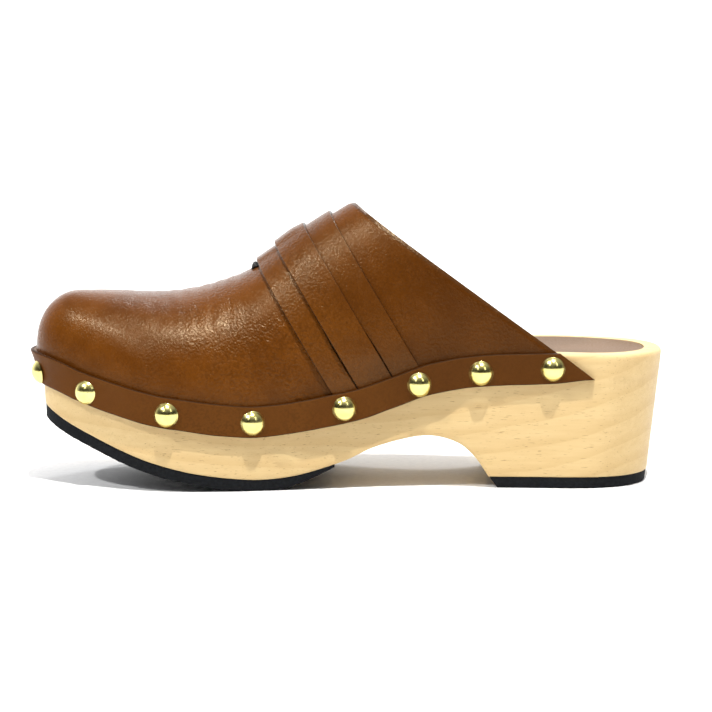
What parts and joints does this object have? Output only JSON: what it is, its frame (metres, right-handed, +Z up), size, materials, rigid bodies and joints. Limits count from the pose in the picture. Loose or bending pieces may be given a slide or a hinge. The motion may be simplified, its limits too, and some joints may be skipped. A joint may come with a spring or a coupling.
{
  "type": "wooden clog",
  "caption": "Slip-on clog: carved wooden sole on rubber, closed leather toe with straps over the instep, leather band held by dome nails, open heel.",
  "frame": {"origin": "on the ground under the middle of the shoe's bounding box", "axes": "+Z up, -X towards the toe and +X towards the heel, -Y towards the inner side of the foot and +Y towards the outer side"},
  "size_m": [0.2514, 0.097, 0.1105],
  "materials": {
    "sole_wood": "smooth sanded light wood with a satin lacquer, fine dark pores and faint growth rings",
    "rubber": "matte black rubber with a slightly rough cut edge",
    "vamp_leather": "semi-gloss pull-up leather in cognac brown with fine pebbled grain",
    "strap_leather": "the same cognac leather, cut edges darker",
    "band_leather": "smooth dark brown leather with a raw cut edge",
    "sock_leather": "matte mauve brown lining leather",
    "pad_foam": "latex foam pad under the sock",
    "puff_board": "resin-stiffened brown cloth in the toe",
    "tab_webbing": "black woven tab",
    "nail_brass": "polished brass",
    "hidden_steel": "plain steel wire and nails"
  },
  "bodies": {
    "root": {"wooden_sole": "sole_wood", "forefoot_outsole": "rubber", "heel_top_lift": "rubber", "sole_nails": "hidden_steel", "insole_pad": "pad_foam", "insole_sock": "sock_leather", "vamp": "vamp_leather", "toe_puff": "puff_board", "instep_tab": "tab_webbing", "strap_front": "strap_leather", "strap_middle": "strap_leather", "strap_rear": "strap_leather", "welt_band": "band_leather", "dome_nails_inner": "nail_brass", "dome_nails_outer": "nail_brass", "vamp_staples": "hidden_steel"}
  },
  "joints": []
}
